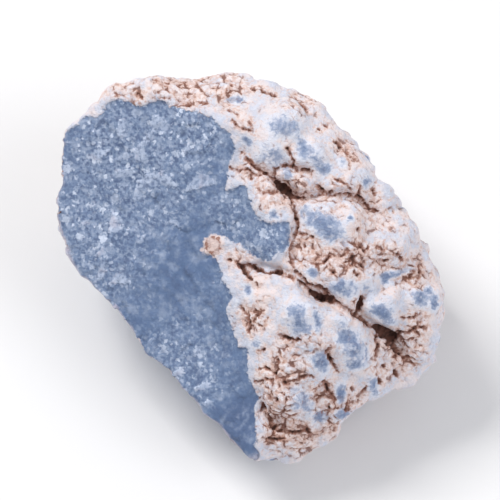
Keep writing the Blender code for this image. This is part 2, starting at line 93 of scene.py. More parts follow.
# The crevices and the larger cracks of the rind: points along each, with the half width there.
CREVICES = [
    [
        (-1.4, 19.2, 0.12), (0.2, 17.3, 0.18), (1.5, 16.2, 0.22), (3.7, 14.8, 0.12), (4.9, 13.6, 0.75),
        (5.7, 13.1, 1.0), (6.9, 12.1, 0.35), (8.0, 11.4, 0.2), (9.3, 11.5, 0.05), (10.8, 11.6, 0.15),
    ],
    [(11.6, 13.3, 0.3), (12.2, 12.5, 0.3), (13.2, 12.1, 0.3), (13.8, 12.5, 0.2)],
    [
        (11.3, 11.9, 0.05), (14.5, 11.9, 0.08), (16.2, 12.3, 0.12), (17.7, 11.5, 0.15),
        (18.3, 11.8, 0.35), (19.3, 10.8, 0.3), (20.5, 9.5, 0.2), (21.8, 9.2, 0.1),
    ],
    [(18.4, 12.0, 0.3), (18.8, 13.6, 0.15)],
    [
        (4.2, 14.6, 0.2), (4.2, 16.2, 0.15), (5.2, 16.8, 0.1), (6.0, 17.0, 0.25), (7.2, 16.8, 0.15),
        (8.0, 16.2, 0.12), (9.3, 16.2, 0.1), (10.4, 15.8, 0.2),
    ],
    [(7.3, 17.0, 0.15), (7.4, 17.8, 0.12), (6.7, 18.9, 0.2), (6.5, 19.8, 0.25)],
    [(-3.4, 16.6, 0.1), (-2.0, 16.0, 0.12), (-0.6, 16.5, 0.2), (0.6, 15.5, 0.15), (2.0, 15.3, 0.1)],
    [(1.3, 13.0, 0.12), (2.4, 12.4, 0.15), (3.6, 12.1, 0.15), (4.6, 12.5, 0.3)],
    [
        (6.9, 11.6, 0.2), (7.6, 10.0, 0.08), (7.8, 8.6, 0.15), (8.1, 7.3, 0.15), (7.8, 5.4, 0.08),
        (7.4, 4.1, 0.06), (6.7, 2.2, 0.1), (7.0, 1.0, 0.12), (7.5, -0.4, 0.08),
    ],
    [(8.0, 5.4, 0.12), (9.3, 5.4, 0.15), (10.6, 4.7, 0.2)],
    [(8.3, 4.2, 0.1), (9.3, 3.3, 0.15)],
    [
        (-3.6, 1.0, 0.1), (-2.2, 0.6, 0.12), (-1.2, -0.4, 0.5), (-0.8, -1.0, 0.65), (0.2, -2.4, 0.15),
        (1.2, -3.3, 0.1),
    ],
    [
        (-0.2, 0.1, 0.35), (1.0, -0.5, 0.3), (2.8, -1.2, 0.25), (5.0, -1.1, 0.3), (6.0, -1.4, 0.35),
        (7.0, -2.0, 0.18), (8.2, -2.6, 0.12), (9.6, -3.7, 0.25), (11.0, -4.9, 0.55), (12.3, -5.6, 0.7),
        (13.9, -5.8, 0.45), (15.2, -6.6, 0.15), (16.5, -7.4, 0.1), (17.9, -8.5, 0.3), (19.0, -9.2, 0.25),
        (20.2, -10.2, 0.35), (21.5, -10.6, 0.5), (23.2, -11.5, 1.2), (24.3, -12.1, 1.1),
        (24.0, -13.3, 0.7), (25.5, -14.9, 0.25), (26.4, -15.9, 0.2), (28.2, -17.2, 0.1),
    ],
    [
        (7.6, -0.9, 0.15), (8.6, -1.8, 0.2), (9.9, -3.1, 0.2), (11.6, -3.6, 0.4), (12.8, -4.2, 0.35),
        (13.0, -5.0, 0.4),
    ],
    [(18.0, -8.3, 0.4), (18.4, -7.0, 0.6), (18.9, -5.5, 0.4)],
    [(17.4, -5.9, 0.15), (17.8, -6.2, 0.2)],
    [
        (21.8, -11.2, 0.25), (21.5, -12.6, 0.25), (21.9, -13.6, 0.3), (21.4, -14.8, 0.2),
        (21.3, -16.0, 0.2),
    ],
    [(25.0, -11.5, 0.35), (27.1, -11.4, 0.25), (28.4, -10.5, 0.2), (30.0, -10.7, 0.15)],
    [(25.8, -9.0, 0.1), (28.0, -8.9, 0.2), (29.0, -8.2, 0.1)],
    [(28.4, -11.4, 0.1), (29.4, -12.3, 0.2)],
    [(5.1, -11.9, 0.2), (5.7, -12.1, 0.45), (7.0, -12.5, 0.25), (8.5, -12.6, 0.1)],
    [(-1.5, -7.1, 0.15), (-0.6, -8.3, 0.12), (0.0, -10.2, 0.25), (-0.2, -11.4, 0.15)],
    [
        (13.5, -13.9, 0.2), (13.0, -14.7, 0.3), (13.6, -16.0, 0.15), (14.2, -17.0, 0.3),
        (15.0, -18.2, 0.12),
    ],
    [(12.7, -20.1, 0.4), (13.2, -21.2, 0.45), (13.8, -21.9, 0.25)],
    [(1.6, -14.7, 0.15), (2.3, -14.2, 0.25)],
    [
        (1.5, -17.6, 0.12), (2.6, -17.3, 0.15), (3.4, -17.9, 0.15), (4.4, -18.5, 0.3), (4.7, -17.0, 0.15),
        (4.7, -15.7, 0.1),
    ],
    [(1.0, -20.0, 0.15), (2.2, -19.5, 0.2), (3.7, -19.3, 0.2), (4.5, -18.8, 0.2)],
    [
        (5.3, -19.7, 0.3), (6.1, -19.8, 0.35), (7.5, -19.5, 0.2), (8.7, -19.0, 0.3), (9.6, -18.6, 0.3),
        (10.7, -18.9, 0.15),
    ],
    [(4.3, -22.6, 0.3), (4.6, -23.3, 0.15)],
    [(3.3, -22.4, 0.25), (3.6, -22.5, 0.2)],
    [(1.4, -24.9, 0.15), (2.4, -24.2, 0.35), (3.4, -24.2, 0.3), (3.3, -25.5, 0.3), (4.7, -25.8, 0.2)],
    [
        (3.6, -26.2, 0.2), (3.9, -27.4, 0.3), (4.9, -28.3, 0.3), (6.6, -28.5, 0.25), (8.4, -28.5, 0.25),
        (9.9, -28.2, 0.3), (10.6, -29.1, 0.25),
    ],
    [(3.0, -29.8, 0.25), (4.1, -29.8, 0.3), (5.8, -29.6, 0.2)],
    [(13.3, -23.6, 0.15), (13.4, -24.6, 0.35), (14.4, -24.6, 0.2)],
    [(16.6, -23.4, 0.2), (16.7, -24.7, 0.4)],
    [(17.5, -20.9, 0.3), (17.6, -21.2, 0.25)],
    [(19.9, -20.8, 0.15), (19.4, -21.6, 0.25)],
    [(24.8, -18.2, 0.2), (25.2, -19.1, 0.3)],
    [(21.7, -18.8, 0.12), (22.4, -20.1, 0.25)],
    [(22.8, -17.2, 0.2), (23.0, -17.4, 0.2)],
    [(12.5, 0.6, 0.2), (13.4, 1.6, 0.25)],
    [
        (14.1, 2.8, 0.12), (15.5, 1.6, 0.15), (16.5, 2.0, 0.25), (17.8, 1.5, 0.4), (17.4, 0.8, 0.35),
        (19.3, -0.3, 0.15),
    ],
    [(18.6, 3.6, 0.2), (19.3, 2.5, 0.35), (20.0, 3.0, 0.2)],
    [(21.4, 1.0, 0.12), (22.3, 0.8, 0.25), (23.3, 0.8, 0.15)],
    [(21.7, 3.3, 0.12), (22.2, 2.7, 0.2)],
    [(25.0, 2.1, 0.35), (25.4, 1.6, 0.3), (26.1, 1.0, 0.12)],
    [(27.2, -1.8, 0.35), (27.7, -1.1, 0.25)],
    [(28.9, -0.4, 0.2), (28.9, -1.6, 0.25), (28.2, -3.1, 0.2)],
    [(10.4, 0.4, 0.12), (12.0, -0.1, 0.12)],
    [(13.6, -0.7, 0.25), (14.2, -1.1, 0.25)],
    [(15.4, -0.2, 0.2), (16.0, -0.3, 0.2)],
    [(17.4, -0.8, 0.1), (18.3, -1.7, 0.25)],
    [(18.3, 6.2, 0.12), (18.2, 5.2, 0.15)],
    [(20.9, 12.9, 0.25), (21.3, 11.9, 0.25)],
    [(14.5, 14.5, 0.3), (15.6, 14.2, 0.12), (17.0, 12.9, 0.1)],
    [(14.2, 20.9, 0.12), (15.0, 20.8, 0.25), (15.5, 19.9, 0.12), (17.2, 18.5, 0.1), (18.3, 17.8, 0.12)],
    [(12.8, 23.8, 0.2), (13.1, 23.7, 0.2)],
    [(11.6, 23.2, 0.15), (11.8, 23.1, 0.15)],
    [(0.2, 30.0, 0.15), (0.9, 29.9, 0.15)],
    [(1.7, 30.2, 0.12), (2.3, 29.5, 0.25), (4.2, 28.9, 0.12)],
    [(7.2, 28.5, 0.12), (9.6, 26.8, 0.12)],
    [(-3.7, 26.3, 0.15), (-2.3, 25.8, 0.15)],
    [(-0.3, 24.4, 0.1), (0.3, 23.8, 0.15)],
    [(-3.1, 24.6, 0.1), (-1.8, 23.4, 0.12), (-0.2, 22.8, 0.15), (0.6, 22.7, 0.1)],
    [(-19.3, 29.3, 0.3), (-18.4, 28.5, 0.3)],
    [(-10.8, 27.3, 0.2), (-10.1, 27.6, 0.25)],
    [(-8.6, 27.8, 0.2), (-7.7, 27.4, 0.25)],
]
# Blue windows where the rind is worn through: middle, reach along and across, turn in degrees, strength.
# The last, at the lower end, greys that end in part as painted shade.
WINDOWS_AND_SHADE = [
    (5.6, 23.6, 2.3, 1.9, 0, 0.68), (9.3, 19.6, 1.1, 1.7, 20, 0.85), (11.0, 18.0, 1.7, 1.0, -35, 0.72),
    (12.3, 16.5, 1.1, 1.0, 0, 1.0), (3.6, 18.9, 1.9, 1.7, 0, 0.68), (-0.4, 20.9, 1.1, 0.5, -40, 0.9),
    (-2.3, 28.1, 1.3, 0.5, 0, 0.9), (12.3, 7.0, 3.4, 1.5, -38, 1.0), (13.9, 5.0, 1.0, 0.7, 0, 0.9),
    (3.9, 8.4, 0.7, 0.8, 0, 0.9), (6.2, 15.6, 0.8, 0.7, 0, 0.8), (16.8, 7.8, 0.4, 0.6, -30, 1.0),
    (19.6, 14.3, 0.8, 1.0, 0, 0.6), (15.7, 17.5, 0.6, 1.0, 0, 0.5), (15.7, -3.8, 1.7, 1.2, -20, 1.0),
    (10.7, -1.3, 0.8, 0.7, 0, 0.9), (20.0, -3.6, 1.0, 0.7, 0, 0.5), (22.4, -7.9, 2.0, 1.1, -38, 1.0),
    (24.2, -1.5, 2.2, 0.5, 12, 1.0), (22.9, -2.6, 0.5, 0.8, 0, 0.9), (29.0, -5.7, 1.3, 1.3, 0, 0.9),
    (31.6, -6.2, 0.6, 1.1, 0, 1.0), (30.3, -4.3, 0.7, 0.5, 0, 1.0), (8.2, -9.3, 1.4, 2.6, 25, 0.9),
    (11.3, -9.4, 0.6, 1.6, 8, 0.8), (17.2, -13.2, 1.4, 3.1, 38, 1.0), (17.6, -16.8, 1.4, 0.8, 0, 1.0),
    (11.7, -16.0, 1.3, 1.7, 25, 0.85), (8.9, -23.4, 1.4, 2.0, 15, 0.75), (15.6, -21.8, 0.7, 1.5, 0, 1.0),
    (11.8, -26.0, 1.3, 1.0, 30, 0.9), (21.2, -20.6, 0.8, 1.2, 0, 0.8), (-0.3, -4.3, 0.5, 0.9, 0, 0.8),
    (0.9, -13.4, 0.8, 0.7, 0, 0.6), (15.8, -25.6, 1.5, 0.9, 10, 0.8),
]
# Patches where the rind is stained with rust and finely cracked: middle, reach and strength. Those at (9.0,
# -29.5), (18.5, -24.0) and (10.0, -22.0), at the lower end, also darken it there: in part painted shade.
RUST_AND_SHADE = [
    (1.0, 16.0, 3.0, 0.8), (7.0, 12.5, 4.0, 0.7), (3.5, 11.5, 3.5, 0.6), (14.0, 11.5, 4.0, 0.5),
    (19.0, 11.0, 4.0, 0.5), (9.5, 2.5, 4.0, 0.9), (13.0, 0.5, 3.5, 0.8), (17.5, 1.5, 4.0, 0.9),
    (22.5, 1.5, 3.5, 0.7), (27.5, -1.5, 3.5, 0.8), (6.0, -17.5, 5.0, 0.74), (4.5, -21.5, 4.0, 0.84),
    (11.0, -13.5, 3.0, 0.65), (0.8, -9.0, 2.6, 0.9), (-1.0, 2.2, 2.5, 0.6), (13.0, -22.5, 3.5, 0.8),
    (5.5, -27.5, 4.5, 1.1), (14.5, -25.0, 4.5, 1.0), (26.5, -14.5, 4.0, 1.0), (23.0, -17.5, 3.5, 0.6),
    (28.5, -10.0, 2.5, 0.7), (-12.0, 30.0, 6.0, 0.82), (-21.0, 29.5, 4.5, 0.6), (-3.5, 30.0, 4.0, 0.8),
    (8.5, 27.5, 3.5, 0.5), (16.5, 19.5, 3.0, 0.5), (-1.0, 24.6, 2.0, 0.5), (14.0, -1.0, 2.5, 0.7),
    (9.0, -29.5, 4.0, 0.8), (18.5, -24.0, 3.0, 0.7), (10.0, -22.0, 3.0, 0.6), (22.0, 8.0, 4.0, 0.5),
]
# The small round rust spot at the tip of the notch: middle and radius.
PEG = (-6.3, 3.3, 1.3)
# Pale flakes on the fresh face: the corners of each. Its first edge stands up, and it fades from there.
FLAKES = [
    [(-22.8, 22.4), (-22.6, 24.2), (-21.7, 25.3), (-20.9, 24.0), (-21.0, 22.2), (-21.9, 21.9)],
    [(-25.8, 18.1), (-24.2, 19.8), (-25.3, 20.0), (-26.6, 19.7), (-28.0, 18.6), (-26.8, 18.2)],
    [(-19.2, 20.4), (-16.6, 23.4), (-16.3, 21.8), (-17.4, 20.7)],
    [(-20.0, 19.9), (-18.6, 20.5), (-17.8, 18.9), (-17.3, 17.0), (-18.6, 17.5), (-19.7, 18.3)],
    [(-22.9, 16.2), (-20.2, 16.5), (-19.7, 15.8), (-20.8, 14.9), (-22.0, 15.3), (-24.1, 15.1)],
    [(-19.5, 14.2), (-16.6, 16.0), (-16.0, 14.2), (-17.6, 13.4)],
    [(-15.0, 16.1), (-12.3, 13.4), (-13.8, 13.2), (-16.6, 14.8)],
    [(-20.0, 12.2), (-18.8, 14.1), (-17.9, 13.4), (-18.3, 12.0), (-19.0, 10.8), (-19.9, 11.2)],
    [(-10.9, 12.7), (-5.8, 13.9), (-7.0, 14.9), (-8.2, 15.7), (-9.6, 14.9), (-10.6, 13.7)],
    [(-17.3, 24.2), (-16.2, 25.5), (-14.8, 24.9), (-13.5, 23.4), (-14.4, 22.5), (-16.2, 23.4)],
    [(-24.4, 5.5), (-23.5, 9.0), (-22.6, 8.2), (-21.6, 7.6), (-22.2, 5.8)],
    [(-24.8, -0.9), (-25.9, -2.4), (-27.3, -3.2), (-26.4, -1.6), (-25.9, 0.2), (-25.0, 1.0)],
    [(-20.6, -3.2), (-23.9, -3.0), (-23.2, -1.6), (-22.2, -0.9), (-21.3, -2.0)],
    [(-26.7, 1.7), (-25.3, 3.2), (-24.9, 2.2), (-25.6, 1.6)],
    [(-19.7, 3.8), (-18.0, 5.2), (-18.2, 4.0)],
    [(-13.7, -18.9), (-12.0, -17.6), (-11.2, -18.6), (-12.6, -19.2)],
    [(-9.7, -15.5), (-9.2, -13.8), (-7.8, -14.2), (-8.2, -15.7)],
    [(-9.8, -21.2), (-7.9, -20.0), (-6.5, -20.4), (-7.4, -21.6)],
    [(-8.0, -23.9), (-7.2, -23.0), (-6.2, -23.6), (-7.0, -24.3)],
    [(-13.9, 7.6), (-12.0, 6.3), (-12.4, 7.6)],
    [(-29.4, 7.0), (-28.2, 8.0), (-27.8, 6.9)],
    [(-11.6, 19.2), (-10.6, 20.8), (-10.4, 19.4)],
]
# Where the fresh face is smooth and deep blue, and where it is sugary: middle, reach and strength. The
# smooth patch at the bottom tip is painted shade, which darkens the tip.
SMOOTH_BLUE_AND_SHADE = [
    (-9.5, 2.0, 7.0, 0.6), (-14.0, -2.0, 7.0, 0.6), (-7.5, -8.5, 6.0, 0.4),
    (-3.0, -17.0, 5.0, 0.4), (-2.0, -27.0, 6.5, 1.0), (-5.5, 15.0, 4.0, 0.2), (-18.0, -7.0, 6.0, 0.5),
]
SUGARY = [
    (-26.0, 9.0, 9.0, 0.6), (-22.0, 19.0, 9.0, 0.9), (-16.0, 12.0, 7.0, 0.4), (-22.0, -1.0, 7.0, 0.4),
    (-11.0, -14.5, 6.5, 0.38), (-7.5, -21.5, 5.5, 0.28), (-11.0, 23.0, 7.0, 0.75), (2.5, 4.5, 4.5, 0.4),
    (-4.0, 9.5, 4.5, 0.4),
]

# How high each thing stands or how deep it cuts, in millimetres.
STEP_DEPTH, CREVICE_CUT, FINE_CRACK_CUT = 0.22, 1.4, 0.22
DRAWN_RISE, HIDDEN_RISE, LUMP_RISE, COBBLE_RISE, RIND_GRIT = 0.1, 0.24, 0.26, 0.16, 0.18
FLAKE_RISE = 0.22
# How steeply the facets and the grains of the breaks lie.
FACET_TILT, GRAIN_TILT = 0.13, 0.12
# The crevices are cut at this share of their listed width, and the hidden breaks are this much rougher.
CREVICE_WIDTH, LOWER_ROUGHER = 0.82, 1.4
# How big the cells of each pattern are, in millimetres.
CRACK_CELL, FINE_CRACK_CELL = 5.2, 1.8
FACET_CELL, CHIP_CELL, GRAIN_CELL, SUGAR_CELL = 4.2, 2.1, 0.95, 0.5
# The rind's small cells are drawn out along this way, by this share.
CELLS_LIE_ALONG, CELL_STRETCH = (0.87, -0.5, 0.0), 0.24
# The bright grains, pale grains and in part painted glints: the size of their cells, the share of cells
# with none, and where they are brightest.
SPARKS = [(GRAIN_CELL, 0.3, 0.85), (CHIP_CELL, 0.6, 0.95)]

# Where each edge in a pattern begins and where it is in full, in millimetres.
FRESH_EDGE, FLAKE_EDGE = (-0.18, 0.18), (-0.12, 0.12)
CREVICE_WALL, FINE_CRACK_WALL = (0.25, -0.75), (0.12, -0.12)
DOME_SLOPE, COBBLE_SLOPE = (0.0, 1.8), (0.0, 0.8)
# The same, as shares: of a hidden break, and of the way out from the middle of a bright grain's cell.
BROKEN_EDGE, SPARK_EDGE = (0.42, 0.58), (0.46, 0.24)
# Where the hidden rind is finely cracked, and how strongly. On the drawn side it is by this much less.
CRACKLED, DRAWN_LESS = (0.42, 0.66, 0.0, 0.7), -0.75
# How wide the cracks are, as a slope and a start: by noise, and by how finely cracked the rind is.
CRACK_WIDTH, CRACK_BY_CRACKLE = (2.4, -1.1), (0.8, 0.5)
FINE_WIDTH, FINE_BY_CRACKLE = (1.2, -0.76), 0.26
CRACK_EDGE = (1.4, -0.66)
# The small knots that fine cracks meet in: by noise, off a crack, and by how finely cracked the rind is.
KNOT, KNOT_OFF_CRACK, KNOT_BY_CRACKLE = (0.48, 0.62, 1.3, -0.05), 0.7, (-0.9, 0.85)
# The sugary grain: by noise, and by cell. How strong it is, as a slope and a start, in colour and relief.
SUGAR_BY_NOISE, SUGAR_BY_CELL = (1.6, -0.3), 0.4
SUGAR_SHOWS, SUGAR_STANDS = (0.75, 0.3), (0.9, 0.25)

# Where each field of the stone begins and where it is in full. A reach or a depth is in millimetres, and a
# facing goes from 0, side on, to 1, square on.
DRAWN_FACING = (0.1, 0.4)
BREAK_DEPTH, BREAK_FACING = (3.0, 4.5), (0.74, 0.9)
CORNER_REACH = (2.0, 3.5)
LIP_REACH, LIP_FACING = (1.5, 3.0), (0.62, 0.84)
# Round patches fade over these shares of their reach.
PATCH_FADE = (0.4, 1.3)
# The fresh face ends at this facing, with this many millimetres of border to a unit of it.
FRESH_FACING, FACING_MM = 0.3, 12.0
# How sugary the fresh face is where no patch is.
PLAIN_SUGARY = 0.3
# A distance that stands for nowhere near.
FAR = 20.0

# The noises: how big the blots of each are in millimetres, how detailed they are, and a seed.
NOISES = {
    "border": (1.5, 3.0, 0.0),
    "border_fine": (0.5, 2.0, 9.0),
    "torn": (3.0, 3.0, 5.0),
    "crackled": (9.0, 2.0, 11.0),
    "crack_width": (3.0, 2.0, 13.0),
    "crack_edge": (0.8, 3.0, 7.0),
    "fine_width": (1.3, 2.0, 17.0),
    "knot": (1.6, 2.0, 91.0),
    "lump": (3.4, 2.0, 73.0),
    "grit": (1.1, 4.0, 19.0),
    "chip": (0.5, 2.0, 27.0),
    "sugar": (0.6, 3.0, 31.0),
    "flake_edge": (0.7, 3.0, 37.0),
    "blue_cloud": (5.0, 3.0, 29.0),
    "blue_veil": (2.1, 4.0, 33.0),
    "lip": (1.2, 3.0, 71.0),
    "old_stain": (8.0, 4.0, 41.0),
    "old_speck": (1.2, 4.0, 43.0),
    "speckle": (0.6, 4.0, 47.0),
    "rind_cloud": (5.5, 3.0, 53.0),
    "blotch": (1.9, 4.0, 57.0),
    "crumb_and_glint": (0.75, 2.0, 101.0),
    "hidden_window": (4.4, 2.0, 59.0),
    "window_grain": (0.55, 3.0, 89.0),
    "window_vein": (1.3, 3.0, 97.0),
    "peg_edge": (0.9, 3.0, 79.0),
    "peg_ring": (1.2, 2.0, 83.0),
    "shine": (0.5, 2.0, 61.0),
    "tooth": (0.45, 4.0, 67.0),
}
# The bends that make a pattern wander: how big each is and how far it reaches in millimetres, and a seed.
BENDS = {
    "crack": (3.2, 1.1, 0.0),
    "crack_fine": (0.9, 0.3, 3.0),
    "facet": (2.4, 0.8, 23.0),
    "grain": (0.6, 0.4, 23.0),
}
BEND_DETAIL = 3.0
# The middle of a noise's or a cell's colour.
HALVES = (0.5, 0.5, 0.5)


def srgb(*levels):
    """A colour as the eye reads it, red, green and blue from 0 to 255, made linear."""
    shares = [level / 255 for level in levels]
    return tuple(s / 12.92 if s <= 0.04 else ((s + 0.055) / 1.055) ** 2.4 for s in shares)


CHALK = srgb(222, 215, 219)
COOL_WHITE = srgb(194, 200, 217)
MILK_HIGHLIGHT = srgb(234, 226, 229)
RIM_WHITE = srgb(217, 220, 232)
PEACH = srgb(230, 210, 205)
ORANGE = srgb(196, 153, 135)
RUST = srgb(148, 102, 86)
CRACK_RED = srgb(121, 81, 69)
CRACK_BROWN = srgb(82, 54, 47)
WINDOW_BLUE = srgb(146, 160, 189)
DEEP_WINDOW = srgb(106, 124, 158)
SMOOTH = srgb(92, 116, 154)
SUGARY_GREY = srgb(115, 134, 166)
DARK_BLUE = srgb(78, 95, 130)
PALE_BLUE = srgb(150, 164, 190)
# Near white of the single bright grains: pale grains, and in part painted glints.
PALE_GRAIN_AND_GLINT = srgb(204, 214, 233)
FLAKE_GREY = srgb(188, 200, 223)
PINK_GREY = srgb(200, 191, 203)

# Colours that are laid over the stone by one pattern: where each begins and is in full, how strongly, and
# the colour.
VEIL_LAYERS = [(0.48, 0.7, 0.62, PALE_BLUE), (0.47, 0.3, 0.5, DARK_BLUE)]
SUGAR_LAYERS = [(0.48, 0.8, 0.9, PALE_BLUE), (0.48, 0.24, 0.75, DARK_BLUE)]
# Crumbs: white specks, in part painted glints, and rust specks.
CRUMB_AND_GLINT_LAYERS = [(0.48, 0.34, 0.85, MILK_HIGHLIGHT), (0.57, 0.7, 0.8, RUST)]
WINDOW_LAYERS = [
    (0.02, 0.28, 0.85, RIM_WHITE), (0.28, 0.56, 0.9, WINDOW_BLUE), (0.5, 0.8, 0.85, DEEP_WINDOW),
]
RIND_ROUGHNESS, BREAK_ROUGHNESS = 0.85, (0.38, 0.62)
# The finest grain of the surface, too small to model: its height in millimetres, and how much of it shows.
RIND_TOOTH, BREAK_TOOTH, BUMP_STRENGTH = 0.3, 0.35, 0.95
# How much light goes into the stone, and how far.
GLOW_WEIGHT, GLOW_RADII, GLOW_DEPTH = 0.08, (1.0, 1.0, 1.2), 0.8 * MM

FLOOR_SIZE, FLOOR_COLOUR, FLOOR_ROUGHNESS = 4.0, (0.82, 0.82, 0.83, 1.0), 0.9
# The lights: name, place, size, watts and colour. The key comes from the picture's upper left, and the
# wider, weaker fill from its lower right.
LIGHTS = [
    ("key", (-0.45, 0.35, 0.75), 0.35, 6.2, (1.0, 0.98, 0.95)),
    ("fill", (0.65, -0.28, 0.6), 0.6, 3.2, (0.97, 0.98, 1.0)),
]
SKY_COLOUR, SKY_STRENGTH = (0.95, 0.965, 1.0, 1.0), 0.54
# The camera: where it looks, how steeply and from how far, its lens and its sensor in millimetres.
TARGET = PICTURE_ORIGIN + Vector((0.0, -0.001, 0.008))
ELEVATION, CAMERA_DISTANCE = math.radians(64.0), 0.62
LENS, SENSOR_WIDTH = 100.0, 13.86


# Fields of the stone, worked out once for every point of its skin.


def ramp(value, low, high):
    """0 below low, 1 above high and a smooth rise between them."""
    share = np.clip((value - low) / (high - low), 0.0, 1.0)
    return share * share * (3.0 - 2.0 * share)


def along_segments(flat, chain):
    """For each segment of a chain: the distance to it, how far along it is nearest, and its ends."""
    for start, end in zip(chain[:-1], chain[1:]):
        a, b = np.array(start[:2]), np.array(end[:2])
        share = np.clip((flat - a) @ (b - a) / ((b - a) @ (b - a)), 0.0, 1.0)
        yield np.linalg.norm(flat - a - share[:, None] * (b - a), axis=1), share, start, end


def chain_distance(flat, chain):
    """The distance to a chain of points."""
    return np.min([distance for distance, *_ in along_segments(flat, chain)], axis=0)


def border_distance(flat, border):
    """The distance to a closed border, positive inside it."""
    closed = [*border, border[0]]
    inside = np.zeros(len(flat), bool)
    for (u0, v0), (u1, v1) in zip(closed[:-1], closed[1:]):
        if v0 != v1:
            spans = (v0 > flat[:, 1]) != (v1 > flat[:, 1])
            inside ^= spans & (flat[:, 0] < u0 + (flat[:, 1] - v0) / (v1 - v0) * (u1 - u0))
    nearest = chain_distance(flat, closed)
    return np.where(inside, nearest, -nearest)


def crevice_distance(flat):
    """How far outside the nearest crevice each point is, negative within it."""
    found = np.full(len(flat), FAR)
    for chain in CREVICES:
        for distance, share, start, end in along_segments(flat, chain):
            half = start[2] + (end[2] - start[2]) * share
            found = np.minimum(found, distance - CREVICE_WIDTH * half)
    return found


def patches(flat, spots):
    """The strongest of some round patches, each fading out from its middle."""
    found = np.zeros(len(flat))
    for u, v, reach, strength in spots:
        away = np.linalg.norm(flat - np.array((u, v)), axis=1) / reach
        found = np.maximum(found, strength * (1.0 - ramp(away, *PATCH_FADE)))
    return found


def ovals(flat, spots):
    """The strongest of some oval patches: its strength in the middle of one, half of that at its reach."""
    found = np.zeros(len(flat))
    for u, v, along, across, turn, strength in spots:
        right, up = flat[:, 0] - u, flat[:, 1] - v
        cosine, sine = math.cos(math.radians(turn)), math.sin(math.radians(turn))
        away = np.hypot((right * cosine + up * sine) / along, (up * cosine - right * sine) / across)
        found = np.maximum(found, strength * (1.0 - 0.5 * away))
    return found


def flake_fields(flat):
    """How far inside the nearest flake each point is, and how near the edge that stands up, from 0 to 1."""
    inside = np.full(len(flat), -FAR)
    raised = np.zeros(len(flat))
    for corners in FLAKES:
        depth = border_distance(flat, corners)
        reach = chain_distance(np.array(corners), corners[:2]).max()
        nearer = depth > inside
        inside = np.where(nearer, depth, inside)
        raised = np.where(nearer, 1.0 - chain_distance(flat, corners[:2]) / reach, raised)
    return inside, np.clip(raised, 0.0, 1.0)


def plane_distance(points, plane):
    """How far each point lies in front of a plane."""
    point, normal = plane
    return (points - np.array(point)) @ np.array(Vector(normal).normalized())


def break_share(points, normals, plane):
    """How much of each point's skin belongs to a flat break: it is near the plane and faces its way."""
    near = 1.0 - ramp(-plane_distance(points, plane), *BREAK_DEPTH)
    return near * ramp(normals @ np.array(Vector(plane[1]).normalized()), *BREAK_FACING)


def broken_share(points, normals):
    """How much of each point's skin belongs to a hidden break, or to the corner next to the fresh face."""
    found = np.maximum(break_share(points, normals, LOWER_BREAK), break_share(points, normals, BASE))
    corner = np.hypot(plane_distance(points, FRESH_FACE), plane_distance(points, LOWER_BREAK))
    return np.maximum(found, 1.0 - ramp(corner, *CORNER_REACH))


def vectors_of(collection, name):
    """One vector property of many mesh elements, as an array."""
    found = np.empty(len(collection) * 3)
    collection.foreach_get(name, found)
    return found.reshape(-1, 3)


def store(mesh, name, values, kind="FLOAT"):
    """Keeps a value for every point of the mesh."""
    layer = mesh.attributes.new(name, kind, "POINT")
    layer.data.foreach_set("value" if kind == "FLOAT" else "vector", values.astype(np.float32).ravel())


def relaxed(stone, steps):
    """The stone's points and normals when its skin is smoothed this many times."""
    smooth = stone.modifiers.new("relaxed", "SMOOTH")
    smooth.factor = SMOOTHING
    smooth.iterations = steps
    bpy.context.view_layer.update()
    graph = bpy.context.evaluated_depsgraph_get()
    mesh = bpy.data.meshes.new_from_object(stone.evaluated_get(graph))
    stone.modifiers.remove(smooth)
    points = vectors_of(mesh.vertices, "co")
    normals = vectors_of(mesh.vertex_normals, "vector")
    bpy.data.meshes.remove(mesh)
    return points, normals


def measure(stone):
    """Stores the fields that the patterns are built on."""
    mesh = stone.data
    to_picture = np.array(Matrix.Rotation(-LEAN, 3, "X"))
    points = vectors_of(mesh.vertices, "co")
    rest = (points - np.array(PICTURE_ORIGIN)) @ to_picture.T / MM
    flat = rest[:, :2]
    form, form_normals = relaxed(stone, FORM_STEPS)
    turned = (relaxed(stone, LUMP_STEPS)[1] @ to_picture.T)[:, 2]
    facing = form_normals @ to_picture.T
    towards = facing[:, 2]
    drawn = ramp(towards, *DRAWN_FACING)
    store(mesh, "rest", rest, "FLOAT_VECTOR")
    store(mesh, "drawn", drawn)
    store(mesh, "hollow", np.sum((form - points) * form_normals, axis=1) / MM)

    inside = np.minimum(border_distance(flat, FRESH_BORDER), (towards - FRESH_FACING) * FACING_MM)
    store(mesh, "fresh", inside)
    store(mesh, "broken", broken_share(rest, facing))
    # At the bottom tip the face is made less sugary, and so darker, as painted shade.
    store(mesh, "sugary", PLAIN_SUGARY + patches(flat, SUGARY) - patches(flat, SMOOTH_BLUE_AND_SHADE))
    flake, raised = flake_fields(flat)
    store(mesh, "flake", flake)
    store(mesh, "raised", raised)
    near_edge = 1.0 - ramp(chain_distance(flat, SHARP_EDGE), *LIP_REACH)
    store(mesh, "lip", near_edge * (1.0 - ramp(turned, *LIP_FACING)))

    store(mesh, "crevice", crevice_distance(flat) + FAR * (1.0 - drawn))
    # Windows; the last one is in part painted shade at the lower end.
    store(mesh, "window", ovals(flat, WINDOWS_AND_SHADE) * drawn)
    # Rust patches; those at the lower end are in part painted shade.
    store(mesh, "rust_and_shade", patches(flat, RUST_AND_SHADE) * drawn)
    peg = np.linalg.norm(flat - np.array(PEG[:2]), axis=1) / PEG[2]
    store(mesh, "peg", peg + FAR * (1.0 - drawn))


# Patterns, built alike in a geometry tree, which carves them, and in a shader tree, which paints them.
# In each ramp the first two numbers are where it begins and where it is in full. Two more numbers are its
# strength at those ends.


